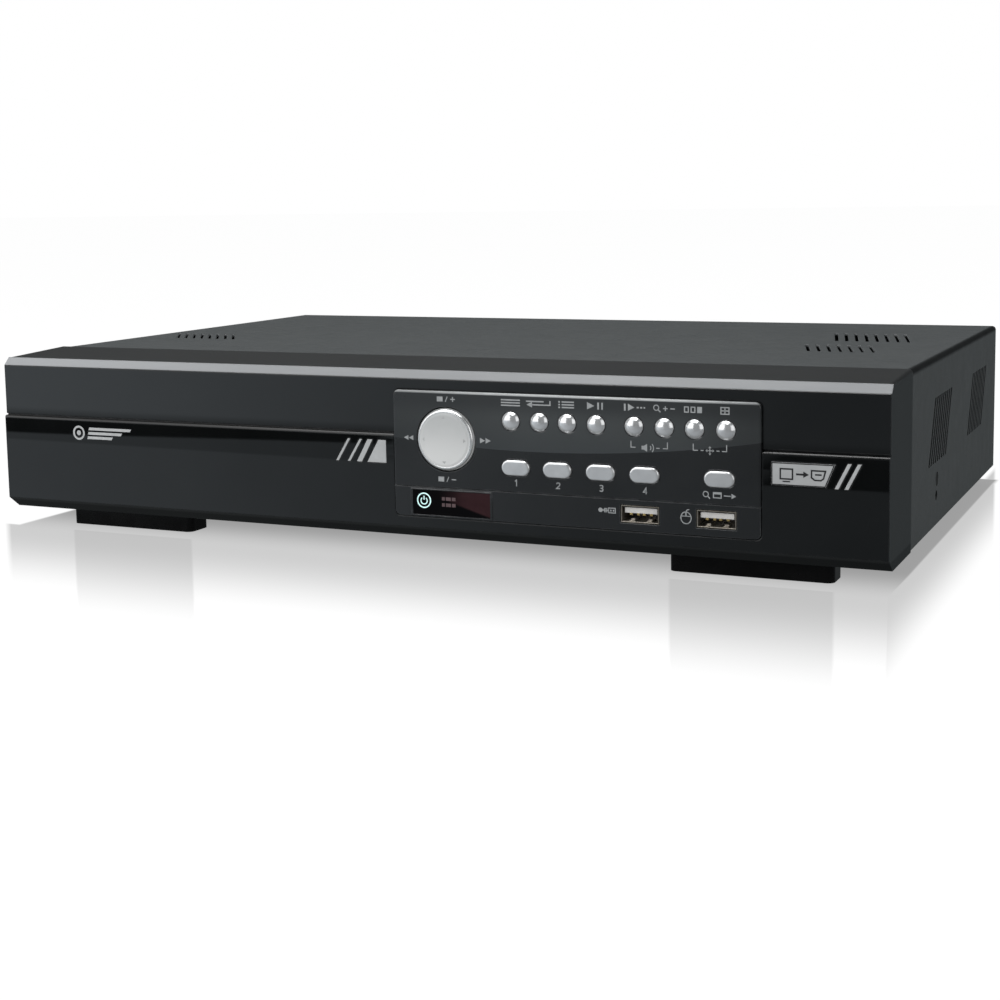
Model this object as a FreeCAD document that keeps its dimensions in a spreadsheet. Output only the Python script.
import FreeCAD, Part
import Sketcher
import math
import os

# Four-channel digital video recorder: plastic front bezel with a separate key panel,
# a folded steel case, a hard drive, a fan and the boards with their rear connectors.
# Millimetres, +Z up, the front of the recorder faces -Y, +X is to the right seen from the front.

os.makedirs("parts", exist_ok=True)
doc = FreeCAD.newDocument("dvr_recorder")
V = FreeCAD.Vector


# ------------------------------------------------------------------ dimension table
class Dim:
    """A spreadsheet value that carries its number and its expression together."""

    def __init__(self, value, text):
        self.value = float(value)
        self.text = text

    def join(self, left, right, sign, value):
        return Dim(value, "(" + words(left) + " " + sign + " " + words(right) + ")")

    def __add__(self, o):
        return self.join(self, o, "+", self.value + num(o))

    def __radd__(self, o):
        return self.join(o, self, "+", num(o) + self.value)

    def __sub__(self, o):
        return self.join(self, o, "-", self.value - num(o))

    def __rsub__(self, o):
        return self.join(o, self, "-", num(o) - self.value)

    def __mul__(self, o):
        return self.join(self, o, "*", self.value * num(o))

    def __rmul__(self, o):
        return self.join(o, self, "*", num(o) * self.value)

    def __truediv__(self, o):
        return self.join(self, o, "/", self.value / num(o))

    def __neg__(self):
        return self.join(0.0, self, "-", -self.value)


def num(x):
    return x.value if isinstance(x, Dim) else float(x)


def words(x):
    return x.text if isinstance(x, Dim) else "%.6f" % float(x)


table = [
    ("case_width", 343.0, "overall width of the bezel"),
    ("case_top", 68.0, "top of the bezel above the table"),
    ("foot_height", 7.6, "height of the feet with their pads"),
    ("bezel_depth", 35.0, "front face to the cover seam"),
    ("bezel_wall", 2.5, "plastic wall"),
    ("step_level", 44.2, "ledge between upper and lower front"),
    ("step_proud", 1.0, "how far the lower front stands proud"),
    ("sheet", 1.0, "steel sheet thickness"),
    ("cover_back", 223.4, "rear edge of the cover"),
    ("cover_bend", 1.6, "outer bend radius of the cover"),
    ("panel_left", 0.0, "left edge of the key panel"),
    ("panel_right", 131.0, "right edge of the key panel"),
    ("panel_base", 15.8, "lower edge of the key panel"),
    ("panel_top", 59.8, "upper edge of the key panel"),
    ("panel_proud", 0.6, "panel face in front of the bezel"),
    ("seam_level", 26.2, "fine groove across the panel"),
    ("nav_centre", 20.3, "navigation disc, sideways"),
    ("nav_level", 43.2, "navigation disc, height"),
    ("nav_radius", 10.8, "navigation disc"),
    ("key_row", 50.5, "row of round keys"),
    ("key_radius", 3.2, "round key"),
    ("key_gap", 0.25, "gap around keys"),
    ("oval_row", 34.7, "row of oval keys"),
    ("oval_length", 10.2, "oval key"),
    ("oval_width", 5.3, "oval key"),
    ("usb_level", 21.4, "height of the two front sockets"),
    ("usb_one", 90.3, "left front socket"),
    ("usb_two", 116.3, "right front socket"),
    ("window_left", 7.0, "indicator window"),
    ("window_right", 36.5, "indicator window"),
    ("foot_length", 55.5, "foot, sideways"),
    ("foot_depth", 12.0, "foot, front to back"),
    ("foot_reach", 151.25, "outer end of a foot from the middle"),
    ("foot_setback", 13.0, "front of a foot behind the front face"),
    ("pad_thick", 1.5, "rubber pad"),
    ("board_level", 16.2, "underside of the main board"),
    ("board_thick", 1.6, "circuit board"),
    ("panel_back", 222.4, "outer face of the rear panel"),
    ("video_level", 30.0, "axis of the video sockets"),
    ("video_pitch", 16.0, "pitch of the video sockets"),
    ("video_first", 155.0, "first video socket"),
    ("audio_radius", 4.15, "phono ring, outside"),
    ("drive_middle", -109.2, "hard drive, sideways"),
    ("drive_front", 55.0, "hard drive, front end"),
    ("drive_length", 147.0, "hard drive"),
    ("drive_width", 101.6, "hard drive"),
    ("disc_radius", 47.5, "drive platter"),
    ("fan_middle", -110.0, "fan, sideways"),
    ("fan_level", 38.0, "fan, height"),
    ("fan_size", 40.0, "fan frame"),
    ("side_screw", 85.0, "cover screw on each side, behind the front"),
    ("side_level", 24.0, "cover screw on each side, height"),
    ("front_reach", 2.8, "foremost point in front of the front face"),
    ("rear_reach", 235.8, "rearmost point behind the front face"),
]
sheet = doc.addObject("Spreadsheet::Sheet", "dims")
D = {}
for row, (alias, value, note) in enumerate(table, start=1):
    sheet.set("A%d" % row, alias)
    sheet.set("B%d" % row, str(value))
    sheet.set("C%d" % row, note)
    sheet.setAlias("B%d" % row, alias)
    D[alias] = Dim(value, "dims." + alias)
doc.recompute()

half = D["case_width"] / 2
shift = (D["rear_reach"] - D["front_reach"]) / 2      # the middle of the whole depth goes to y = 0
nodes = []


# ------------------------------------------------------------------ small helpers
def put(obj, prop, x):
    if isinstance(x, Dim):
        obj.setExpression(prop, x.text)
    else:
        setattr(obj, prop, x)


def place(obj, x, y, z, rot=None):
    obj.Placement = FreeCAD.Placement(V(num(x), num(y), num(z)), rot or FreeCAD.Rotation())
    for axis, v in (("x", x), ("y", y), ("z", z)):
        if isinstance(v, Dim):
            obj.setExpression("Placement.Base." + axis, v.text)


def node(label, obj, x=0.0, y=0.0, z=0.0):
    """Names a finished piece and sets it in the recorder's frame."""
    place(obj, x, y - shift, z)
    obj.Label = label
    nodes.append(obj)
    return obj


def box(name, x, y, z):
    b = doc.addObject("Part::Box", name)
    put(b, "Length", x[1] - x[0])
    put(b, "Width", y[1] - y[0])
    put(b, "Height", z[1] - z[0])
    place(b, x[0], y[0], z[0])
    return b


TURN = {"X": FreeCAD.Rotation(V(0, 0, 1), V(1, 0, 0)),
        "Y": FreeCAD.Rotation(V(0, 0, 1), V(0, 1, 0)),
        "Z": FreeCAD.Rotation()}


def rod(name, axis, a, b, r, lo, hi, top=None):
    """A cylinder (or a cone when top is given) along an axis; a and b are the two other coordinates."""
    c = doc.addObject("Part::Cone" if top is not None else "Part::Cylinder", name)
    if top is not None:
        put(c, "Radius1", r)
        put(c, "Radius2", top)
    else:
        put(c, "Radius", r)
    put(c, "Height", hi - lo)
    at = {"X": (lo, a, b), "Y": (a, lo, b), "Z": (a, b, lo)}[axis]
    place(c, at[0], at[1], at[2], TURN[axis])
    return c


def fuse(name, *shapes):
    f = doc.addObject("Part::MultiFuse", name)
    f.Shapes = list(shapes)
    return f


def cut(name, base, *tools):
    c = doc.addObject("Part::Cut", name)
    c.Base = base
    c.Tool = tools[0] if len(tools) == 1 else fuse(name + "_tools", *tools)
    return c


def group(name, *shapes):
    g = doc.addObject("Part::Compound", name)
    g.Links = list(shapes)
    return g


def soften(name, base, radius, test):
    doc.recompute()
    f = doc.addObject("Part::Fillet", name)
    f.Base = base
    f.Edges = [(i, radius, radius) for i, e in enumerate(base.Shape.Edges, start=1) if test(e)]
    return f


def body(name):
    return doc.addObject("PartDesign::Body", name)


def origin(b, role):
    return [f for f in b.Origin.OriginFeatures if f.Role == role][0]


def sketch(b, role, offset=0.0):
    """A sketch on one of the body's planes, moved along world X, Y or Z by offset."""
    s = b.newObject("Sketcher::SketchObject", b.Name + "_sketch")
    s.AttachmentSupport = [(origin(b, role + "_Plane"), "")]
    s.MapMode = "FlatFace"
    d = -offset if role == "XZ" else offset
    s.AttachmentOffset = FreeCAD.Placement(V(0, 0, num(d)), FreeCAD.Rotation())
    if isinstance(d, Dim):
        s.setExpression("AttachmentOffset.Base.z", d.text)
    return s


def pin_point(s, kind, i, pos, v):
    if num(v) < 0:
        k = s.addConstraint(Sketcher.Constraint(kind, i, pos, -1, 1, -num(v)))
        v = -v
    else:
        k = s.addConstraint(Sketcher.Constraint(kind, -1, 1, i, pos, num(v)))
    if isinstance(v, Dim):
        s.setExpression("Constraints[%d]" % k, v.text)


def poly(s, pts):
    first = s.GeometryCount
    n = len(pts)
    for i in range(n):
        a, b = pts[i], pts[(i + 1) % n]
        s.addGeometry(Part.LineSegment(V(num(a[0]), num(a[1]), 0), V(num(b[0]), num(b[1]), 0)))
    for i in range(n):
        s.addConstraint(Sketcher.Constraint("Coincident", first + i, 2, first + (i + 1) % n, 1))
    for i in range(n):
        pin_point(s, "DistanceX", first + i, 1, pts[i][0])
        pin_point(s, "DistanceY", first + i, 1, pts[i][1])


def rect(s, x, z):
    poly(s, [(x[0], z[0]), (x[1], z[0]), (x[1], z[1]), (x[0], z[1])])


def ring(s, x, z, r):
    i = s.addGeometry(Part.Circle(V(num(x), num(z), 0), V(0, 0, 1), num(r)))
    k = s.addConstraint(Sketcher.Constraint("Radius", i, num(r)))
    if isinstance(r, Dim):
        s.setExpression("Constraints[%d]" % k, r.text)
    pin_point(s, "DistanceX", i, 3, x)
    pin_point(s, "DistanceY", i, 3, z)


def outline(s, curves):
    for c in curves:
        i = s.addGeometry(c)
        s.addConstraint(Sketcher.Constraint("Block", i))


def arc3(a, b, c):
    return Part.Arc(V(a[0], a[1], 0), V(b[0], b[1], 0), V(c[0], c[1], 0))


def line2(a, b):
    return Part.LineSegment(V(a[0], a[1], 0), V(b[0], b[1], 0))


def round_rect(s, x, z, r):
    x0, x1, z0, z1, q = num(x[0]), num(x[1]), num(z[0]), num(z[1]), r * (1 - math.sqrt(0.5))
    outline(s, [line2((x0 + r, z0), (x1 - r, z0)), arc3((x1 - r, z0), (x1 - q, z0 + q), (x1, z0 + r)),
                line2((x1, z0 + r), (x1, z1 - r)), arc3((x1, z1 - r), (x1 - q, z1 - q), (x1 - r, z1)),
                line2((x1 - r, z1), (x0 + r, z1)), arc3((x0 + r, z1), (x0 + q, z1 - q), (x0, z1 - r)),
                line2((x0, z1 - r), (x0, z0 + r)), arc3((x0, z0 + r), (x0 + q, z0 + q), (x0 + r, z0))])


def stadium(s, x, z, length, width):
    r = width / 2.0
    a = length / 2.0 - r
    outline(s, [line2((x - a, z - r), (x + a, z - r)), arc3((x + a, z - r), (x + a + r, z), (x + a, z + r)),
                line2((x + a, z + r), (x - a, z + r)), arc3((x - a, z + r), (x - a - r, z), (x - a, z - r))])


def feature(b, kind, s, length, back=False, both=False, name=None):
    f = b.newObject("PartDesign::" + kind, name or b.Name + "_" + kind.lower())
    f.Profile = s
    put(f, "Length", length)
    if both:
        f.SideType = "Symmetric"
    f.Reversed = back
    s.Visibility = False
    b.Tip = f
    return f


def pad(b, s, length, **kw):
    return feature(b, "Pad", s, length, **kw)


def pocket(b, s, length, **kw):
    return feature(b, "Pocket", s, length, **kw)


def spin(b, s, axis):
    f = b.newObject("PartDesign::Revolution", b.Name + "_spin")
    f.Profile = s
    f.ReferenceAxis = (origin(b, axis + "_Axis"), [""])
    f.Angle = 360.0
    b.Tip = f
    return f


def row_of(b, seed, axis, length, count, back=False):
    p = b.newObject("PartDesign::LinearPattern", b.Name + "_row")
    p.Originals = [seed]
    p.Direction = (origin(b, axis + "_Axis"), [""])
    put(p, "Length", length)
    p.Occurrences = count
    p.Reversed = back
    b.Tip = p
    return p


def circle_of(b, seed, axis, count):
    p = b.newObject("PartDesign::PolarPattern", b.Name + "_ring")
    p.Originals = [seed]
    p.Axis = (origin(b, axis + "_Axis"), [""])
    p.Angle = 360.0
    p.Occurrences = count
    b.Tip = p
    return p


def blend(b, base, radius, test):
    doc.recompute()
    f = b.newObject("PartDesign::Fillet", b.Name + "_fillet")
    f.Base = (base, ["Edge%d" % i for i, e in enumerate(base.Shape.Edges, start=1) if test(e)])
    f.Radius = radius
    b.Tip = f
    return f


def ends(e):
    return [v.Point for v in e.Vertexes]


def along(e, axis):
    p = ends(e)
    if len(p) != 2:
        return False
    d = p[1] - p[0]
    return d.Length > 1e-6 and abs(abs(getattr(d, axis)) - d.Length) < 1e-6


def near(a, b, tol=0.01):
    return abs(a - b) < tol


# ------------------------------------------------------------------ front bezel
w = D["bezel_wall"]
base_z = D["foot_height"]
top_z = D["case_top"]
up = D["step_proud"]
deep = D["bezel_depth"]

bezel = body("bezel")
s = sketch(bezel, "YZ")
poly(s, [(0.0, base_z + 4.2), (0.0, D["step_level"]), (up + 0.7, D["step_level"]), (up + 0.7, D["step_level"] + 0.6),
         (up, D["step_level"] + 0.6), (up, top_z - 4.3), (up + 0.9, top_z - 4.3), (up + 2.8, top_z - 2.4),
         (up + 2.8, top_z - 1.5), (deep, top_z), (deep, base_z), (5.4, base_z)])
f = pad(bezel, s, D["case_width"], both=True)
f = blend(bezel, f, 1.4, lambda e: len(ends(e)) == 2 and near(ends(e)[0].x, ends(e)[1].x) and all(p.z > 66.4 for p in ends(e))
          and abs(ends(e)[0].y - ends(e)[1].y) > 20)
f = blend(bezel, f, 0.8, lambda e: along(e, "x") and near(ends(e)[0].y, 0) and near(ends(e)[0].z, 44.2))
s = sketch(bezel, "YZ")
inner = 3.4
poly(s, [(inner, base_z + 4.8), (inner, top_z - 5.1), (6.0, top_z - w - 1.2), (deep + 2, top_z - w), (deep + 2, base_z + w),
         (6.4, base_z + w)])
pocket(bezel, s, D["case_width"] - 2 * w, both=True)
s = sketch(bezel, "XZ", -1.0)                                      # opening for the key panel
round_rect(s, (D["panel_left"] - 0.2, D["panel_right"] + 0.2), (D["panel_base"] - 0.2, D["panel_top"] + 0.2), 2.0)
pocket(bezel, s, 6.0)
s = sketch(bezel, "XZ", -1.0)                                      # shallow seats for plate, inlays and emblem
poly(s, [(134.3, 33.8), (151.7, 33.8), (154.7, 41.2), (134.3, 41.2)])
for p in ([(154.4, 33.5), (155.6, 33.5), (159.7, 41.6), (158.5, 41.6)], [(157.5, 33.5), (158.7, 33.5), (162.8, 41.6), (161.6, 41.6)],
          [(-23.5, 33.8), (-22.5, 33.8), (-17.6, 41.8), (-18.6, 41.8)], [(-18.8, 33.8), (-17.8, 33.8), (-12.9, 41.8), (-13.9, 41.8)],
          [(-15.1, 33.8), (-13.1, 33.8), (-8.7, 41.8), (-10.7, 41.8)], [(-10.9, 33.8), (-3.4, 33.8), (-3.4, 41.8), (-6.4, 41.8)]):
    poly(s, p)
pocket(bezel, s, 1.4)
s = sketch(bezel, "XZ", 3.0)                                       # screw posts reaching the steel front wall
posts = [(-150, 20), (-150, 57), (-20, 20), (-20, 57), (152, 20), (152, 57)]
for x, z in posts:
    ring(s, x, z, 3.5)
pad(bezel, s, 32.2, back=True)
s = sketch(bezel, "XZ", 35.2)
for x, z in posts:
    ring(s, x, z, 1.35)
pocket(bezel, s, 12.0, back=True)
s = sketch(bezel, "XZ", 33.0)                                      # lip that tucks under the cover
lip = half - 1.65
poly(s, [(-lip, 11.5), (-lip, top_z - 2.75), (-(lip - 1.2), top_z - 1.55), (lip - 1.2, top_z - 1.55), (lip, top_z - 2.75), (lip, 11.5),
         (lip - 1.2, 11.5), (lip - 1.2, top_z - 3.25), (lip - 1.7, top_z - 2.75), (-(lip - 1.7), top_z - 2.75),
         (-(lip - 1.2), top_z - 3.25), (-(lip - 1.2), 11.5)])
pad(bezel, s, 6.0, back=True)
s = sketch(bezel, "XY", 6.0)                                       # foot screw holes
for x in (-143, -107, 107, 143):
    ring(s, x, D["foot_setback"] + D["foot_depth"] / 2, 1.6)
pocket(bezel, s, 6.0, back=True)
node("front_bezel", bezel)

trim = body("trim")
s = sketch(trim, "YZ")
poly(s, [(up, top_z - 4.3), (up + 0.9, top_z - 4.3), (up + 2.8, top_z - 2.4), (up + 2.8, top_z - 1.5)])
pad(trim, s, D["case_width"], both=True)
node("trim_strip", trim)

plate = body("plate")
s = sketch(plate, "XZ", 0.4)
poly(s, [(134.35, 33.85), (151.65, 33.85), (154.62, 41.15), (134.35, 41.15)])
f = pad(plate, s, 0.8)
node("badge_plate", plate)

bars = []
for k, p in enumerate(([(154.42, 33.52), (155.58, 33.52), (159.66, 41.58), (158.52, 41.58)],
                       [(157.52, 33.52), (158.68, 33.52), (162.76, 41.58), (161.62, 41.58)],
                       [(-23.48, 33.82), (-22.52, 33.82), (-17.64, 41.78), (-18.58, 41.78)],
                       [(-18.78, 33.82), (-17.82, 33.82), (-12.94, 41.78), (-13.88, 41.78)],
                       [(-15.08, 33.82), (-13.12, 33.82), (-8.74, 41.78), (-10.68, 41.78)],
                       [(-10.88, 33.82), (-3.42, 33.82), (-3.42, 41.78), (-6.38, 41.78)])):
    b = body("inlay_%d" % k)
    s = sketch(b, "XZ", 0.4)
    poly(s, p)
    pad(b, s, 0.5)
    bars.append(b)
node("stripe_inlays", group("inlays", *bars))

# ------------------------------------------------------------------ key panel
pl, pr, pb, pt = D["panel_left"], D["panel_right"], D["panel_base"], D["panel_top"]
round_keys = [("menu_button", 44.7), ("enter_button", 55.1), ("list_button", 65.1), ("play_button", 75.4),
              ("slow_button", 88.6), ("zoom_button", 99.0), ("sequence_button", 109.2), ("quad_button", 119.6)]
oval_keys = [("channel_one_button", 46.4), ("channel_two_button", 61.5), ("channel_three_button", 76.9),
             ("channel_four_button", 92.2), ("search_button", 117.5)]
panel = body("panel")
s = sketch(panel, "XZ", 1.9)
rect(s, (pl, pr), (pb, pt))
f = pad(panel, s, D["panel_proud"] + 1.9)
f = blend(panel, f, 2.0, lambda e: along(e, "y"))
f = blend(panel, f, 0.55, lambda e: all(near(p.y, -0.6) for p in ends(e)))
s = sketch(panel, "YZ")                                            # lower facet leans back a little
poly(s, [(-1.5, D["seam_level"]), (-0.45, D["seam_level"]), (-0.15, 15.0), (-1.5, 15.0)])
pocket(panel, s, 300.0, both=True)
s = sketch(panel, "YZ")                                            # fine groove
rect(s, (-1.5, -0.1), (D["seam_level"], D["seam_level"] + 0.3))
pocket(panel, s, 300.0, both=True)
s = sketch(panel, "XZ", 1.9)                                       # wall behind the edge
round_rect(s, (pl, pr), (pb, pt), 2.0)
round_rect(s, (pl + 2, pr - 2), (pb + 2, pt - 2), 1.0)
pad(panel, s, 3.1, back=True)
s = sketch(panel, "XZ", 3.5)                                       # flange behind the bezel
rect(s, (pl - 3, pr + 3), (pb - 2.2, pt + 3))
rect(s, (pl + 1.5, pr - 1.5), (pb + 1.5, pt - 1.5))
pad(panel, s, 1.5, back=True)
s = sketch(panel, "XZ", 4.9)                                       # posts for the key board
for x, z in ((0.0, 19.0), (131.0, 19.0), (0.0, 56.0), (131.0, 56.0)):
    ring(s, x, z, 2.6)
pad(panel, s, 9.3, back=True)
s = sketch(panel, "XZ", 14.2)
for x, z in ((0.0, 19.0), (131.0, 19.0), (0.0, 56.0), (131.0, 56.0)):
    ring(s, x, z, 1.15)
pocket(panel, s, 8.0, back=True)
s = sketch(panel, "XZ", -1.0)                                      # navigation disc and sockets
ring(s, D["nav_centre"], D["nav_level"], D["nav_radius"] + 0.45)
for x in (90.3, 116.3):
    round_rect(s, (x - 6.85, x + 6.85), (18.3, 24.5), 0.4)
pocket(panel, s, 2.95)
s = sketch(panel, "XZ", 1.8)                                       # lugs for the navigation gimbal
for z0, z1 in ((53.6, 57.4), (29.0, 32.8)):
    rect(s, (D["nav_centre"] - 2.0, D["nav_centre"] + 2.0), (z0, z1))
pad(panel, s, 4.0, back=True)
s = sketch(panel, "XZ", -1.0)                                      # key holes
for name, x in round_keys:
    ring(s, x, D["key_row"], D["key_radius"] + D["key_gap"])
pocket(panel, s, 2.95)
s = sketch(panel, "XZ", -1.0)
for name, x in oval_keys:
    stadium(s, x, 34.7, 10.7, 5.8)
pocket(panel, s, 2.95)
s = sketch(panel, "XZ", 0.0)                                       # thin raised frame round the window
rect(s, (6.2, 37.2), (16.3, 25.6))
rect(s, (6.95, 36.55), (16.5, 25.2))
pad(panel, s, 0.6)
s = sketch(panel, "XZ", -1.0)
rect(s, (6.95, 36.55), (16.5, 25.2))
pocket(panel, s, 2.9)
s = sketch(panel, "XY", D["nav_level"])
ring(s, D["nav_centre"], 4.0, 0.85)
pocket(panel, s, 27.6, both=True)
node("control_panel", panel)

node("indicator_window", group("window", box("window_plug", (D["window_left"], D["window_right"]), (-0.5, 1.7), (16.55, 25.15))))


def round_key(label, x):
    b = body(label + "_cap")
    s = sketch(b, "YZ")
    outline(s, [arc3((-2.3, 0.0), (-1.98, 1.7), (-1.1, 2.9)), arc3((-1.1, 2.9), (-0.85, 3.12), (-0.5, 3.2)),
                line2((-0.5, 3.2), (2.2, 3.2)), line2((2.2, 3.2), (2.2, 4.2)), line2((2.2, 4.2), (3.2, 4.2)),
                line2((3.2, 4.2), (3.2, 1.4)), line2((3.2, 1.4), (8.5, 1.4)), line2((8.5, 1.4), (8.5, 0.0)),
                line2((8.5, 0.0), (-2.3, 0.0))])
    spin(b, s, "Y")
    node(label, b, x, 0.0, D["key_row"])


def oval_key(label, x):
    b = body(label + "_cap")
    s = sketch(b, "XZ", 2.3)
    stadium(s, 0.0, 0.0, 10.2, 5.3)
    f = pad(b, s, 3.9)
    f = blend(b, f, 0.7, lambda e: all(near(p.y, -1.6) for p in ends(e)))
    s = sketch(b, "XZ", 2.2)
    stadium(s, 0.0, 0.0, 12.4, 7.4)
    pad(b, s, 1.0, back=True)
    s = sketch(b, "XZ", 3.1)
    ring(s, 0.0, 0.0, 1.5)
    pad(b, s, 5.4, back=True)
    node(label, b, x, 0.0, D["oval_row"])


for label, x in round_keys:
    round_key(label, x)
for label, x in oval_keys:
    oval_key(label, x)

# navigation disc: tilts about X in a ring that itself tilts about Z
disc = body("disc")
s = sketch(disc, "YZ")
outline(s, [arc3((-2.8, 0.0), (-2.66, 4.4), (-2.2, 8.7)), line2((-2.2, 8.7), (-1.9, 9.2)),
            arc3((-1.9, 9.2), (-1.35, 10.3), (-0.3, 10.8)), line2((-0.3, 10.8), (0.6, 10.8)),
            line2((0.6, 10.8), (0.6, 6.5)), line2((0.6, 6.5), (8.5, 6.5)), line2((8.5, 6.5), (8.5, 0.0)),
            line2((8.5, 0.0), (-2.8, 0.0))])
spin(disc, s, "Y")
s = sketch(disc, "YZ")
ring(s, 4.0, 0.0, 0.8)
pad(disc, s, 19.0, both=True)
node("nav_disc", disc, D["nav_centre"], 0.0, D["nav_level"])

gimbal = body("gimbal")
s = sketch(gimbal, "XZ", 2.6)
ring(s, 0.0, 0.0, 10.0)
ring(s, 0.0, 0.0, 7.5)
pad(gimbal, s, 2.8, back=True)
s = sketch(gimbal, "XY", 9.2)
ring(s, 0.0, 4.0, 0.8)
pad(gimbal, s, 3.4)
s = sketch(gimbal, "XY", -9.2)
ring(s, 0.0, 4.0, 0.8)
pad(gimbal, s, 3.4, back=True)
s = sketch(gimbal, "YZ")
ring(s, 4.0, 0.0, 0.85)
pocket(gimbal, s, 30.0, both=True)
node("nav_gimbal", gimbal, D["nav_centre"], 0.0, D["nav_level"])

# ------------------------------------------------------------------ key board behind the panel
board = box("key_board", (-4.0, 135.0), (14.2, 15.8), (14.4, 61.0))
node("front_board", cut("key_board_drilled", board, *[rod("key_board_hole", "Y", x, z, 1.5, 13.0, 17.0)
                                                      for x, z in ((0.0, 19.0), (131.0, 19.0), (0.0, 56.0), (131.0, 56.0))]))
inner_screws = [

    fuse("key_board_screw", rod("key_screw_head", "Y", x, z, 2.6, 15.8, 17.4), rod("key_screw_shank", "Y", x, z, 1.1, 8.0, 16.0))
    for x, z in ((0.0, 19.0), (131.0, 19.0), (0.0, 56.0), (131.0, 56.0))]
switches = []
for label, x in round_keys:
    switches.append(fuse("switch", box("switch_case", (x - 3.0, x + 3.0), (10.7, 14.2), (D["key_row"] - 3, D["key_row"] + 3)),
                         rod("switch_pin", "Y", x, D["key_row"], 1.6, 9.2, 11.0)))
for label, x in oval_keys:
    switches.append(fuse("switch", box("switch_case", (x - 3.0, x + 3.0), (10.7, 14.2), (D["oval_row"] - 3, D["oval_row"] + 3)),
                         rod("switch_pin", "Y", x, D["oval_row"], 1.6, 9.2, 11.0)))
for dx, dz in ((5, 0), (-5, 0), (0, 5), (0, -5)):
    cx, cz = D["nav_centre"] + dx, D["nav_level"] + dz
    switches.append(fuse("switch", box("switch_case", (cx - 2.2, cx + 2.2), (10.7, 14.2), (cz - 2.2, cz + 2.2)),
                         rod("switch_pin", "Y", cx, cz, 1.2, 9.0, 11.0)))
lamps = [box("lamp", (x - 1.5, x + 1.5), (9.5, 14.2), (z - 1.4, z + 1.4)) for x, z in ((11.1, 21.3), (20.7, 23.0), (20.7, 18.8))]
receiver = fuse("receiver_body", box("receiver_case", (27.5, 33.5), (9.5, 14.2), (17.8, 24.4)), rod("receiver_dome", "Y", 30.5, 21.2, 2.2, 8.2, 10.0))
node("front_board_parts", group("key_board_parts", receiver, box("key_header", (50.0, 76.0), (15.8, 21.0), (26.0, 32.0)), *lamps, *switches))

shells, tongues = [], []
for x in (D["usb_one"], D["usb_two"]):
    z = D["usb_level"]
    shells.append(cut("usb_shell", box("usb_outer", (x - 6.6, x + 6.6), (-0.1, 14.2), (z - 2.85, z + 2.85)),
                      box("usb_inner", (x - 6.25, x + 6.25), (-1.0, 13.8), (z - 2.5, z + 2.5))))
    tongues.append(fuse("usb_core", box("usb_tongue", (x - 5.6, x + 5.6), (1.0, 12.5), (z + 0.2, z + 2.0)),
                        box("usb_rear", (x - 6.2, x + 6.2), (12.0, 13.8), (z - 2.45, z + 2.45))))
node("usb_shells", group("usb_shell_pair", *shells))
node("usb_tongues", group("usb_tongue_pair", *tongues))

# ------------------------------------------------------------------ steel case
sh = D["sheet"]
floor_top = base_z + sh
back = D["cover_back"]
face = D["panel_back"]
drive_x = D["drive_middle"]
drive_holes = [(drive_x - 46, 96.3), (drive_x + 46, 96.3), (drive_x - 46, 165.0), (drive_x + 46, 165.0)]
foot_y = [D["foot_setback"] + D["foot_depth"] / 2, 202.0]

chassis = body("chassis")
s = sketch(chassis, "XY", base_z)
rect(s, (-(half - 1.7), half - 1.7), (deep + 0.3, face))
pad(chassis, s, sh)
s = sketch(chassis, "XY", base_z)
for side in (-1, 1):
    x0, x1 = half - 2.7, half - 1.7
    rect(s, (x0, x1) if side > 0 else (-x1, -x0), (39.6, 221.2))
pad(chassis, s, 18.8)
s = sketch(chassis, "XZ", deep + 0.3)
rect(s, (-165.0, 165.0), (base_z, 62.0))
pad(chassis, s, sh, back=True)
s = sketch(chassis, "XZ", 30.0)
rect(s, (30.0, 110.0), (17.0, 50.0))
for x, z in posts:
    ring(s, x, z, 1.6)
pocket(chassis, s, 8.0)
s = sketch(chassis, "XY", 6.0)
for x, y in drive_holes:
    ring(s, x, y, 1.6)
for x in (-143, -107, 107, 143):
    ring(s, x, foot_y[1], 1.6)
pocket(chassis, s, 4.0, back=True)
s = sketch(chassis, "YZ")
ring(s, D["side_screw"], D["side_level"], 1.2)
pocket(chassis, s, 400.0, both=True)
s = sketch(chassis, "XY", 6.0)
rect(s, (70.0, 120.0), (58.0, 60.5))
f = pocket(chassis, s, 4.0, back=True)
row_of(chassis, f, "Y", 24.0, 5)
node("base_chassis", chassis)

rear = body("rear")
s = sketch(rear, "XZ", face - sh)
poly(s, [(-(half - 1.7), floor_top + 0.1), (half - 1.7, floor_top + 0.1), (half - 1.7, top_z - 2.8), (half - 2.9, top_z - 1.6),
         (-(half - 2.9), top_z - 1.6), (-(half - 1.7), top_z - 2.8)])
pad(rear, s, sh, back=True)
s = sketch(rear, "XZ", 212.0)
rect(s, (-160.0, 160.0), (floor_top + 0.1, floor_top + 1.1))
pad(rear, s, 9.9, back=True)
video_x = [D["video_first"] - D["video_pitch"] * k for k in range(5)]
audio_x, audio_z = (60.5, 73.5), (26.0, 40.0)
s = sketch(rear, "XZ", 220.0)
for x in video_x:
    ring(s, x, D["video_level"], 5.1)
for x in audio_x:
    for z in audio_z:
        ring(s, x, z, 4.6)
poly(s, [(26.6, 29.6), (44.4, 29.6), (43.0, 20.4), (28.0, 20.4)])
rect(s, (2.0, 17.0), (19.6, 26.4))
rect(s, (-17.2, -0.8), (17.8, 31.8))
rect(s, (-35.4, -18.6), (17.8, 28.4))
rect(s, (-48.0, -38.0), (17.8, 29.2))
for x in (23.0, 48.0):
    ring(s, x, 25.0, 2.6)
for dx in (-16.0, 16.0):
    for dz in (-16.0, 16.0):
        ring(s, D["fan_middle"] + dx, D["fan_level"] + dz, 1.7)
for x in (-160.0, 0.0, 160.0):
    ring(s, x, 62.0, 1.5)
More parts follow.
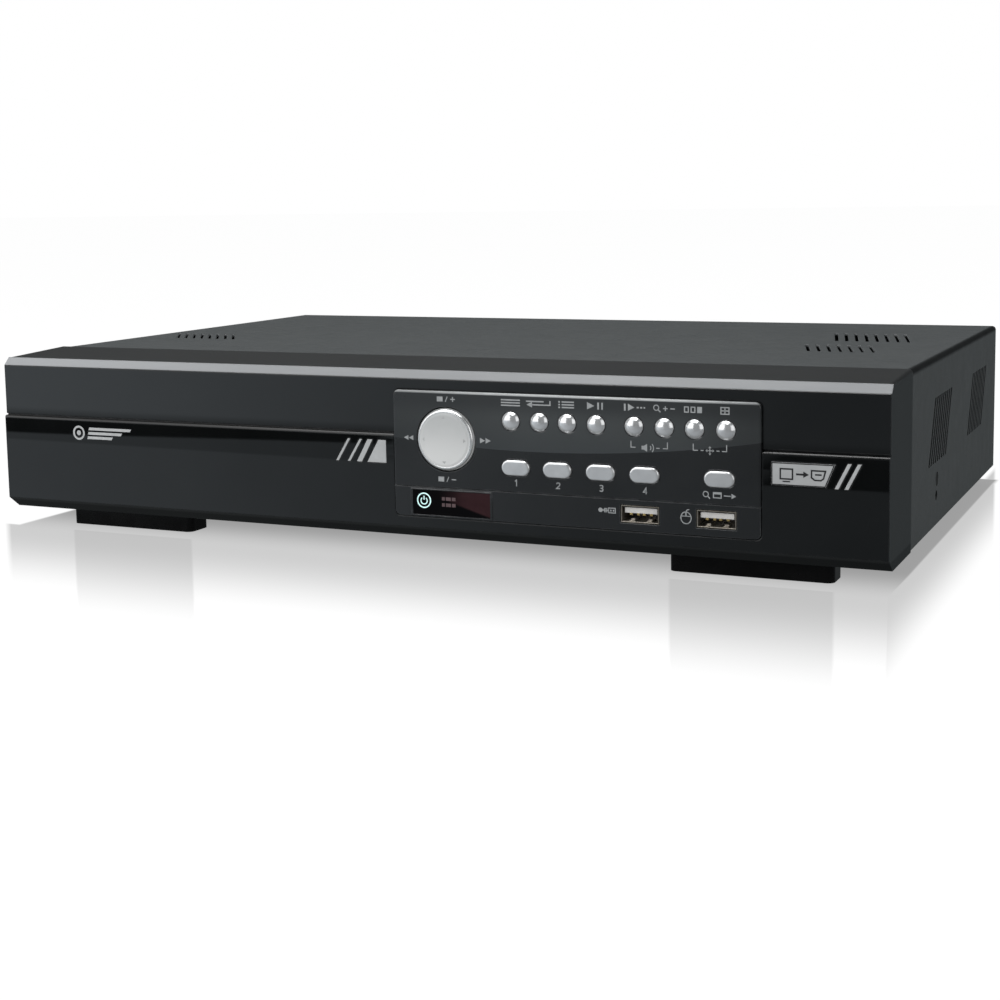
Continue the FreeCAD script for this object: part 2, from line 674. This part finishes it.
ring(s, -66.0, 24.0, 1.5)
pocket(rear, s, 4.0)
s = sketch(rear, "XZ", 220.0)                                      # finger guard in front of the fan
pitch = 5.1
for i in range(-4, 5):
    for j in range(-4, 5):
        x, z = (i + 0.5 * (j % 2)) * pitch, j * pitch * math.sqrt(3) / 2
        if math.hypot(x, z) < 17.2:
            ring(s, D["fan_middle"] + x, D["fan_level"] + z, 2.1)
pocket(rear, s, 4.0)
node("rear_panel", rear)

cover = body("cover")
cx = half - 0.5
s = sketch(cover, "XZ", deep + 0.2)
edge = base_z + 0.1
poly(s, [(-cx, edge), (-cx, top_z - 0.4), (cx, top_z - 0.4), (cx, edge), (cx - sh, edge), (cx - sh, top_z - 0.4 - sh),
         (-(cx - sh), top_z - 0.4 - sh), (-(cx - sh), edge)])
f = pad(cover, s, back - deep - 0.2, back=True)
f = blend(cover, f, 1.6, lambda e: along(e, "y") and near(abs(ends(e)[0].x), 171.0) and near(ends(e)[0].z, 67.6))
f = blend(cover, f, 0.6, lambda e: along(e, "y") and near(abs(ends(e)[0].x), 170.0) and near(ends(e)[0].z, 66.6))
s = sketch(cover, "XZ", face + 0.1)
rect(s, (-165.0, 165.0), (57.5, top_z - 0.9))
pad(cover, s, 0.9, back=True)
for y0 in (68.0, 151.0):                                           # slanted slots in both sides
    s = sketch(cover, "YZ")
    poly(s, [(y0, 30.3), (y0 + 2.5, 30.3), (y0 + 14.4, 53.4), (y0 + 11.9, 53.4)])
    f = pocket(cover, s, 400.0, both=True)
    row_of(cover, f, "Y", 32.4, 9)
for x0, dx, y0, y1, count in ((122.4, -7.6, 92.0, 119.0, 7), (122.5, -8.6, 136.0, 172.0, 8), (-151.0, -14.0, 86.0, 107.5, 8)):
    s = sketch(cover, "XY", 60.0)                                  # slanted slots in the top
    poly(s, [(x0, y0), (x0 + 1.4, y0), (x0 + dx + 1.4, y1), (x0 + dx, y1)])
    f = pocket(cover, s, 12.0, back=True)
    row_of(cover, f, "X", 4.0 * (count - 1), count)
s = sketch(cover, "YZ")
ring(s, D["side_screw"], D["side_level"], 2.5)
ring(s, D["side_screw"] - 0.8, D["side_level"] - 5.8, 1.8)
pocket(cover, s, 400.0, both=True)
s = sketch(cover, "XZ", 222.0)
for x in (-160.0, 0.0, 160.0):
    ring(s, x, 62.0, 1.6)
pocket(cover, s, 3.0)
node("top_cover", cover)

screws = []
for side in (-1, 1):
    y, z, a, b = D["side_screw"], D["side_level"], half - 1.65, half - 0.6
    head = rod("cover_head", "X", y, z, 2.3, a, b) if side > 0 else rod("cover_head", "X", y, z, 2.3, -b, -a)
    a2 = half - 6.5
    shank = rod("cover_shank", "X", y, z, 1.1, a2, a + 0.1) if side > 0 else rod("cover_shank", "X", y, z, 1.1, -(a + 0.1), -a2)
    screws.append(fuse("cover_screw", head, shank))
for x in (-160.0, 0.0, 160.0):
    screws.append(fuse("cover_screw", rod("cover_head", "Y", x, 62.0, 2.8, 223.45, 225.2), rod("cover_shank", "Y", x, 62.0, 1.4, 216.0, 224.0)))
node("cover_screws", group("cover_screw_set", *screws))
inner_screws += [fuse("bezel_screw", rod("bezel_head", "Y", x, z, 2.8, 36.3, 38.0), rod("bezel_shank", "Y", x, z, 1.3, 25.0, 37.0))
                 for x, z in posts]
rear_screws = [fuse("ground_screw", rod("ground_head", "Y", -66.0, 24.0, 3.4, 222.4, 224.6), rod("ground_shank", "Y", -66.0, 24.0, 1.4, 214.0, 223.0))]

feet, pads = [], []
for k, fy in enumerate(foot_y):
    y0, y1 = fy - D["foot_depth"] / 2, fy + D["foot_depth"] / 2
    for side in (-1, 1):
        x1 = D["foot_reach"]
        x0 = x1 - D["foot_length"]
        xs = (x0, x1) if side > 0 else (-x1, -x0)
        block = soften("foot_block", box("foot_raw", xs, (y0, y1), (0.3, base_z)), 2.5, lambda e: along(e, "z"))
        holes = [rod("foot_hole", "Z", side * x, fy, 1.3, 3.5, 12.0) for x in (107.0, 143.0)]
        seat = box("foot_seat", (xs[0] + 3.0, xs[1] - 3.0), (y0 + 2.0, y1 - 2.0), (0.0, D["pad_thick"]))
        feet.append(cut("foot", block, seat, *holes))
        pads.append(box("foot_pad", (xs[0] + 3.05, xs[1] - 3.05), (y0 + 2.05, y1 - 2.05), (0.0, D["pad_thick"])))
        seat_z = base_z + w if k == 0 else floor_top
        for x in (107.0, 143.0):
            inner_screws.append(fuse("foot_screw", rod("foot_head", "Z", side * x, fy, 2.7, seat_z, seat_z + 1.6),
                                    rod("foot_shank", "Z", side * x, fy, 1.25, 4.0, seat_z + 0.5)))
node("feet", group("foot_set", *feet))
node("foot_pads", group("foot_pad_set", *pads))

# ------------------------------------------------------------------ main board
bl = D["board_level"]
bt = bl + D["board_thick"]
stand = [(-46.0, 118.0), (57.0, 101.0), (159.0, 101.0), (-44.0, 196.0), (57.0, 196.0), (159.0, 196.0)]
node("main_board", cut("main_board_drilled", box("main_board_blank", (-50.0, 165.0), (95.0, 219.6), (bl, bt)),
                       *[rod("board_hole", "Z", x, y, 1.6, 15.0, 19.0) for x, y in stand]))
standoffs = [cut("standoff", rod("standoff_post", "Z", x, y, 3.0, floor_top, bl), rod("standoff_bore", "Z", x, y, 1.3, 11.5, 17.0)) for x, y in stand]
inner_screws += [fuse("board_screw", rod("board_head", "Z", x, y, 2.8, bt, bt + 1.7), rod("board_shank", "Z", x, y, 1.25, 12.0, bt + 0.5))
                 for x, y in stand]

sink = body("sink")
s = sketch(sink, "XY", 21.0)
rect(s, (20.0, 60.0), (130.0, 170.0))
pad(sink, s, 15.0)
s = sketch(sink, "XY", 36.0)
rect(s, (22.0, 25.0), (129.0, 171.0))
f = pocket(sink, s, 12.5)
row_of(sink, f, "X", 33.0, 8)
node("heat_sink", sink)
node("board_chips", group("chips", box("main_chip", (26.5, 53.5), (136.5, 163.5), (bt, 21.0)),
                          *[box("chip", (x, x + a), (y, y + b), (bt, bt + 1.2)) for x, y, a, b in
                            ((66, 134, 9, 12), (66, 152, 9, 12), (-10, 134, 9, 12), (-10, 152, 9, 12), (88, 168, 14, 14),
                             (112, 168, 14, 14), (136, 168, 10, 10), (-15, 182, 10, 10), (95, 120, 8, 12), (0, 112, 10, 10))],
                          *[box("coil", (x, x + 8), (y, y + 8), (bt, bt + 4.5)) for x, y in ((-30, 132), (-30, 144), (108, 104))]))
node("board_capacitors", group("capacitors", *[rod("capacitor", "Z", x, y, r, bt, bt + t) for x, y, r, t in
                                               ((-38, 125, 4, 11), (-38, 137, 4, 11), (-38, 149, 5, 12), (-26, 120, 4, 11),
                                                (130, 110, 3.2, 7), (140, 110, 3.2, 7), (84, 104, 4, 9), (-38, 170, 5, 12))],
                               rod("clock_cell", "Z", 140.0, 136.0, 10.0, bt + 1.0, bt + 4.2)))
node("board_headers", group("headers", cut("cell_holder", rod("holder_cup", "Z", 140.0, 136.0, 11.5, bt, bt + 3.6),
                                           rod("holder_well", "Z", 140.0, 136.0, 10.1, bt + 1.0, bt + 5.0)),
                            box("data_header", (-44.0, -36.0), (106.0, 112.0), (bt, bt + 7)),
                            box("power_header", (-33.0, -23.0), (106.0, 112.0), (bt, bt + 7)),
                            box("panel_header", (50.0, 76.0), (110.0, 116.0), (bt, bt + 6)),
                            box("fan_header", (-47.0, -41.0), (184.0, 190.0), (bt, bt + 6))))

# ------------------------------------------------------------------ rear connectors
barrels, bases, cores, pins = [], [], [], []
for x in video_x:
    z = D["video_level"]
    barrel = fuse("barrel_solid", rod("barrel_tube", "Y", x, z, 4.8, 209.0, D["rear_reach"]), rod("barrel_collar", "Y", x, z, 6.3, face + 0.05, 224.6),
                  rod("barrel_rim", "Y", x, z, 4.95, 234.6, D["rear_reach"]),
                  rod("barrel_lug", "X", 231.6, z, 0.95, x - 5.6, x + 5.6))
    barrels.append(cut("barrel", barrel, rod("barrel_bore", "Y", x, z, 4.05, 208.0, 237.0)))
    bases.append(cut("socket_base", box("socket_base_box", (x - 7.0, x + 7.0), (207.0, 221.3), (bt, 37.5)), rod("socket_base_bore", "Y", x, z, 4.85, 208.9, 230.0)))
    cores.append(cut("core", rod("core_body", "Y", x, z, 4.0, 209.0, 226.0) , rod("core_bore", "Y", x, z, 0.75, 214.0, 240.0)))
    pins.append(rod("contact", "Y", x, z, 0.7, 214.0, 231.0))
node("video_sockets", group("barrel_set", *barrels))
node("video_socket_cores", group("core_set", *cores))

ar = D["audio_radius"]
rings, plugs, holes = [], [], []
for x in audio_x:
    for z in audio_z:
        rings.append(cut("phono_ring", fuse("phono_solid", rod("phono_outer", "Y", x, z, ar, 210.0, 231.6),
                                            rod("phono_flange", "Y", x, z, 4.5, 221.35, 222.9)),
                         rod("phono_inner", "Y", x, z, 3.5, 209.0, 233.0)))
        plugs.append(cut("phono_core", rod("phono_core_body", "Y", x, z, 3.45, 211.0, 230.6), rod("phono_core_bore", "Y", x, z, 1.65, 216.0, 233.0)))
        holes.append(rod("phono_hole", "Y", x, z, 4.2, 209.5, 225.0))
node("socket_blocks", group("socket_block_set", cut("audio_block_body", box("audio_block_box", (54.0, 80.0), (207.0, 221.3), (bt, 47.0)), *holes), *bases))
node("audio_rings", group("phono_ring_set", *rings))
node("audio_cores", group("phono_core_set", *plugs))


def dee(b, y, grow):
    s = sketch(b, "XZ", y)
    g = grow
    poly(s, [(35.5 - 8.2 - g, 29.1 + g), (35.5 + 8.2 + g, 29.1 + g), (35.5 + 6.9 + g, 20.9 - g), (35.5 - 6.9 - g, 20.9 - g)])
    return s


shell = body("dee_shell")
pad(shell, dee(shell, 221.3, 0.0), 6.9, back=True)
s = sketch(shell, "XZ", 220.5)
rect(s, (20.0, 51.0), (18.6, 31.4))
pad(shell, s, 0.8, back=True)
pocket(shell, dee(shell, 219.0, -0.45), 12.0)
s = sketch(shell, "XZ", 219.0)
for x in (23.0, 48.0):
    ring(s, x, 25.0, 1.3)
pocket(shell, s, 4.0)
node("monitor_port_shell", shell)
insert = body("dee_insert")
s = sketch(insert, "XZ", 207.0)
rect(s, (20.5, 50.5), (17.8, 30.6))
pad(insert, s, 13.4, back=True)
s = sketch(insert, "XZ", 207.0)
rect(s, (26.0, 45.0), (20.0, 29.6))
pad(insert, s, 13.4, back=True)
pad(insert, dee(insert, 220.2, -0.5), 7.2, back=True)
s = sketch(insert, "XZ", 222.0)
for r, z in enumerate((27.0, 25.0, 23.0)):
    for k in range(5):
        ring(s, 31.0 + 2.25 * k - (0.0 if r != 1 else 1.1) * 0.5, z, 0.5)
pocket(insert, s, 6.0)
s = sketch(insert, "XZ", 216.0)
for x in (23.0, 48.0):
    ring(s, x, 25.0, 1.3)
pocket(insert, s, 6.0)
node("monitor_port_insert", insert)


def hexagon(name, x, z, r, lo, hi):
    p = doc.addObject("Part::Prism", name)
    p.Polygon = 6
    put(p, "Circumradius", r)
    put(p, "Height", hi - lo)
    place(p, x, lo, z, TURN["Y"])
    return p


rear_screws += [cut("nut", fuse("nut_solid", hexagon("nut_head", x, 25.0, 2.9, 222.45, 227.4), rod("nut_stem", "Y", x, 25.0, 1.2, 217.0, 223.0)),
                    rod("nut_bore", "Y", x, 25.0, 1.0, 221.0, 229.0)) for x in (23.0, 48.0)]

video = body("digital_shell")
s = sketch(video, "XZ", 209.0)
poly(s, [(2.4, 25.9), (16.6, 25.9), (16.6, 22.3), (14.6, 20.1), (4.4, 20.1), (2.4, 22.3)])
pad(video, s, 14.4, back=True)
s = sketch(video, "XZ", 211.0)
poly(s, [(2.75, 25.55), (16.25, 25.55), (16.25, 22.45), (14.45, 20.45), (4.55, 20.45), (2.75, 22.45)])
pocket(video, s, 20.0)
s = sketch(video, "XZ", 209.5)
rect(s, (4.0, 15.0), (17.8, 20.4))
pad(video, s, 9.0, back=True)
node("digital_video_port", group("digital_port", video, fuse("digital_core", box("digital_blade", (4.4, 14.6), (212.0, 222.6), (22.7, 23.9)),
                                                             box("digital_rear", (4.6, 14.4), (211.0, 213.0), (21.0, 25.4)))))
lan = body("lan")
s = sketch(lan, "XZ", 202.0)
rect(s, (-16.7, -1.3), (18.1, 31.3))
pad(lan, s, 21.0, back=True)
s = sketch(lan, "XZ", 210.5)
poly(s, [(-15.0, 21.0), (-15.0, 27.8), (-12.0, 27.8), (-12.0, 29.2), (-10.6, 29.2), (-10.6, 30.2), (-7.4, 30.2), (-7.4, 29.2),
         (-6.0, 29.2), (-6.0, 27.8), (-3.0, 27.8), (-3.0, 21.0)])
pocket(lan, s, 20.0)
s = sketch(lan, "XZ", 221.8)
rect(s, (-16.4, -13.6), (28.9, 30.7))
rect(s, (-4.4, -1.6), (28.9, 30.7))
pocket(lan, s, 4.0)
node("lan_socket", lan)
node("lan_shield", cut("lan_can", box("lan_can_outer", (-17.0, -1.0), (201.7, 223.0), (bt, 31.6)), box("lan_can_inner", (-16.7, -1.3), (202.0, 224.0), (bt + 0.3, 31.3))))

term = body("terminal")
s = sketch(term, "XZ", 209.0)
poly(s, [(-35.0, 17.8), (-35.0, 27.0), (-34.0, 28.0), (-20.0, 28.0), (-19.0, 27.0), (-19.0, 17.8)])
pad(term, s, 21.0, back=True)
s = sketch(term, "XZ", 222.0)
for k in range(4):
    rect(s, (-34.2 + 3.9 * k, -31.5 + 3.9 * k), (19.6, 23.6))
pocket(term, s, 12.0)
s = sketch(term, "XY", 29.0)
for k in range(4):
    ring(s, -32.85 + 3.9 * k, 226.4, 1.5)
pocket(term, s, 3.0)
node("alarm_terminal", term)
rear_screws += [cut("terminal_screw", rod("terminal_head", "Z", -32.85 + 3.9 * k, 226.4, 1.42, 26.0, 27.6),
                    box("terminal_slot", (-34.5 + 3.9 * k, -31.2 + 3.9 * k), (226.2, 226.6), (27.1, 28.0))) for k in range(4)]
node("power_jack", cut("jack", box("jack_body", (-47.5, -38.5), (209.0, 223.2), (bt, 28.8)), rod("jack_bore", "Y", -43.0, 23.6, 2.85, 213.0, 224.0)))
node("socket_pins", group("contact_set", rod("jack_pin_rod", "Y", -43.0, 23.6, 1.0, 213.0, 222.4), *pins))

# ------------------------------------------------------------------ hard drive
dz = 16.2
d_left, d_right = drive_x - D["drive_width"] / 2, drive_x + D["drive_width"] / 2
d_front = D["drive_front"]
d_back = d_front + D["drive_length"]
hub_y = d_back - 51.0
piv_x, piv_y = drive_x + 24.2, hub_y - 63.0
drive = body("drive")
s = sketch(drive, "XY", dz)
rect(s, (d_left, d_right), (d_front, d_back))
pad(drive, s, 24.1)
s = sketch(drive, "XY", 40.3)
round_rect(s, (d_left + 2.5, d_right - 2.5), (d_front + 3.0, d_back - 2.5), 6.0)
pocket(drive, s, 18.3)
s = sketch(drive, "XY", dz)
rect(s, (d_left + 12.0, d_right - 12.0), (d_front + 2.0, d_front + 64.0))
pocket(drive, s, 1.9, back=True)
s = sketch(drive, "XY", 21.5)
ring(s, drive_x, hub_y, 3.0)
ring(s, piv_x, piv_y, 2.5)
pad(drive, s, 17.0)
s = sketch(drive, "XY", dz)
for x, y in drive_holes:
    ring(s, x, y, 1.45)
pocket(drive, s, 4.8, back=True)
node("hard_drive_base", drive)
lid = body("lid")
s = sketch(lid, "XY", 40.35)
round_rect(s, (d_left + 0.3, d_right - 0.3), (d_front + 0.3, d_back - 0.3), 4.0)
pad(lid, s, 1.4)
s = sketch(lid, "XY", 41.75)
round_rect(s, (d_left + 8.0, d_right - 8.0), (d_front + 12.0, d_back - 12.0), 8.0)
pocket(lid, s, 0.35)
node("hard_drive_lid", lid)
platters = cut("platter_stack", fuse("platter_solid", rod("platter_low", "Z", drive_x, hub_y, D["disc_radius"], 26.5, 27.8),
                                     rod("platter_high", "Z", drive_x, hub_y, D["disc_radius"], 32.0, 33.3),
                                     rod("platter_hub", "Z", drive_x, hub_y, 12.5, 24.0, 36.0)),
               rod("platter_bore", "Z", drive_x, hub_y, 3.05, 23.0, 39.0))
node("drive_platters", platters)
park = math.degrees(math.atan2(63.0, -24.2)) - 46.5
arm_dir = FreeCAD.Rotation(V(0, 0, 1), park)
blades = []
for zlo in (24.2, 29.3, 34.8):
    blade = box("arm_blade", (0.0, 41.5), (-2.5, 2.5), (0.0, 1.1))
    place(blade, num(piv_x) + arm_dir.multVec(V(0, -2.5, 0)).x, num(piv_y) + arm_dir.multVec(V(0, -2.5, 0)).y, zlo, arm_dir)
    blades.append(blade)
tail = box("arm_tail", (0.0, 18.0), (0.0, 18.0), (0.0, 5.0))
tail_dir = FreeCAD.Rotation(V(0, 0, 1), park + 135.0)
tail.Length, tail.Width = 13.0, 13.0
place(tail, piv_x, piv_y, 28.0, tail_dir)
node("drive_arm", cut("arm", fuse("arm_solid", rod("arm_hub", "Z", piv_x, piv_y, 6.5, 23.4, 37.0), tail, *blades),
                      rod("arm_bore", "Z", piv_x, piv_y, 2.55, 22.0, 39.0)))
standoffs += [cut("drive_post", rod("drive_post_body", "Z", x, y, 4.0, floor_top, dz), rod("drive_post_bore", "Z", x, y, 1.6, 8.0, 17.0))
              for x, y in drive_holes]
node("standoffs", group("standoff_set", *standoffs))
inner_screws += [fuse("drive_screw", rod("drive_head", "Z", x, y, 2.8, base_z - 1.6, base_z), rod("drive_shank", "Z", x, y, 1.4, base_z - 0.7, 20.5))
                 for x, y in drive_holes]
node("case_screws", group("case_screw_set", *inner_screws))

# ------------------------------------------------------------------ fan
fx, fz, fs = D["fan_middle"], D["fan_level"], D["fan_size"] / 2
fan = body("fan")
s = sketch(fan, "XZ", 211.3)
round_rect(s, (fx - fs, fx + fs), (fz - fs, fz + fs), 3.0)
ring(s, fx, fz, 19.0)
pad(fan, s, 10.0, back=True)
s = sketch(fan, "XZ", 210.0)
for dx in (-16.0, 16.0):
    for dz2 in (-16.0, 16.0):
        ring(s, fx + dx, fz + dz2, 1.45)
pocket(fan, s, 14.0)
s = sketch(fan, "XZ", 211.3)
rect(s, (fx - 19.5, fx + 19.5), (fz - 1.0, fz + 1.0))
pad(fan, s, 1.2, back=True)
s = sketch(fan, "XZ", 211.3)
rect(s, (fx - 1.0, fx + 1.0), (fz - 19.5, fz + 19.5))
pad(fan, s, 1.2, back=True)
s = sketch(fan, "XZ", 211.3)
ring(s, fx, fz, 8.5)
pad(fan, s, 1.2, back=True)
s = sketch(fan, "XZ", 212.0)
ring(s, fx, fz, 1.0)
pad(fan, s, 6.5, back=True)
node("fan_frame", fan)
rotor_parts = [rod("rotor_hub", "Y", fx, fz, 9.0, 213.0, 220.6)]
for k in range(7):
    blade = box("rotor_blade", (0.0, 10.0), (0.0, 9.0), (0.0, 0.9))
    turn = FreeCAD.Rotation(V(0, 1, 0), -360.0 / 7 * k).multiply(FreeCAD.Rotation(V(1, 0, 0), 38.0))
    at = turn.multVec(V(8.2, -4.5, -0.45))
    place(blade, num(fx) + at.x, 216.8 + at.y, num(fz) + at.z, turn)
    rotor_parts.append(blade)
node("fan_rotor", cut("rotor", fuse("rotor_solid", *rotor_parts), rod("rotor_bore", "Y", fx, fz, 1.05, 212.0, 219.4)))
rear_screws += [fuse("fan_screw", rod("fan_head", "Y", fx + dx, fz + dz2, 2.8, 222.4, 224.0), rod("fan_shank", "Y", fx + dx, fz + dz2, 1.4, 214.0, 223.0))
                for dx in (-16.0, 16.0) for dz2 in (-16.0, 16.0)]
node("rear_screws", group("rear_screw_set", *rear_screws))

# ------------------------------------------------------------------ cables
ribbon = body("ribbon")
s = sketch(ribbon, "YZ", 51.0)
poly(s, [(21.0, 29.5), (40.0, 33.4), (60.0, 36.5), (106.0, 36.5), (113.4, 31.0), (113.4, 23.9), (112.6, 23.9), (112.6, 30.6), (105.7, 35.7),
         (60.0, 35.7), (40.0, 32.6), (21.0, 28.7)])
pad(ribbon, s, 24.0)
node("ribbon_cable", ribbon)


def cable(label, x0, y0, run, radius_a, x_end, radius_b, y1, z, profile):
    """A lead in one level: down from the board, along the front wall, up to the drive."""
    b = body(label + "_lead")
    path = b.newObject("Sketcher::SketchObject", label + "_path")
    path.AttachmentSupport = [(origin(b, "XY_Plane"), "")]
    path.MapMode = "FlatFace"
    path.AttachmentOffset = FreeCAD.Placement(V(0, 0, z), FreeCAD.Rotation())
    ra, rb, q = radius_a, radius_b, math.sqrt(0.5)
    outline(path, [line2((x0, y0), (x0, run + ra)),
                   arc3((x0, run + ra), (x0 - ra + ra * q, run + ra - ra * q), (x0 - ra, run)),
                   line2((x0 - ra, run), (x_end + rb, run)),
                   arc3((x_end + rb, run), (x_end + rb - rb * q, run + rb - rb * q), (x_end, run + rb)),
                   line2((x_end, run + rb), (x_end, y1))])
    s = sketch(b, "XZ", y0)
    if profile == "flat":
        rect(s, (x0 - 0.8, x0 + 0.8), (z - 3.0, z + 3.0))
    else:
        ring(s, x0, z, 1.9)
    p = b.newObject("PartDesign::AdditivePipe", label + "_pipe")
    p.Profile = s
    p.Spine = path
    b.Tip = p
    return b


data = cable("data", -40.0, 101.0, 43.0, 8.0, -113.0, 5.0, 50.0, 21.4, "flat")
data_lead = fuse("data_lead", data, box("data_plug_a", (-44.0, -36.0), (98.0, 106.0), (18.0, 24.6)),
                 box("data_plug_b", (-119.0, -107.0), (49.0, 55.0), (18.2, 24.6)))
power = cable("power", -28.0, 101.0, 40.0, 10.0, -135.0, 8.0, 50.0, 21.4, "round")
power_lead = fuse("power_lead", power, box("power_plug_a", (-33.0, -23.0), (98.0, 106.0), (18.0, 24.6)),
                  box("power_plug_b", (-147.0, -124.0), (49.0, 55.0), (18.2, 24.6)))
node("drive_cables", group("drive_leads", data_lead, power_lead))

# ------------------------------------------------------------------ recompute, check, export
doc.recompute()
problems = []
for obj in doc.Objects:
    if any(word in obj.State for word in ("Invalid", "Error")):
        problems.append("%s: %s" % (obj.Label, obj.State))
for obj in nodes:
    shape = obj.Shape
    if shape.isNull() or not shape.isValid() or not shape.Solids:
        problems.append("%s: bad shape" % obj.Label)
if problems:
    raise RuntimeError("; ".join(problems))
low = V(1e9, 1e9, 1e9)
high = V(-1e9, -1e9, -1e9)
for obj in nodes:
    obj.Shape.exportStep("parts/%s.step" % obj.Label)
    bb = obj.Shape.BoundBox
    low = V(min(low.x, bb.XMin), min(low.y, bb.YMin), min(low.z, bb.ZMin))
    high = V(max(high.x, bb.XMax), max(high.y, bb.YMax), max(high.z, bb.ZMax))
    print("%-24s solids %2d  volume %10.1f  x %.2f..%.2f y %.2f..%.2f z %.2f..%.2f" % (
        obj.Label, len(obj.Shape.Solids), obj.Shape.Volume, bb.XMin, bb.XMax, bb.YMin, bb.YMax, bb.ZMin, bb.ZMax))
print("pieces", len(nodes), "from", low, "to", high)
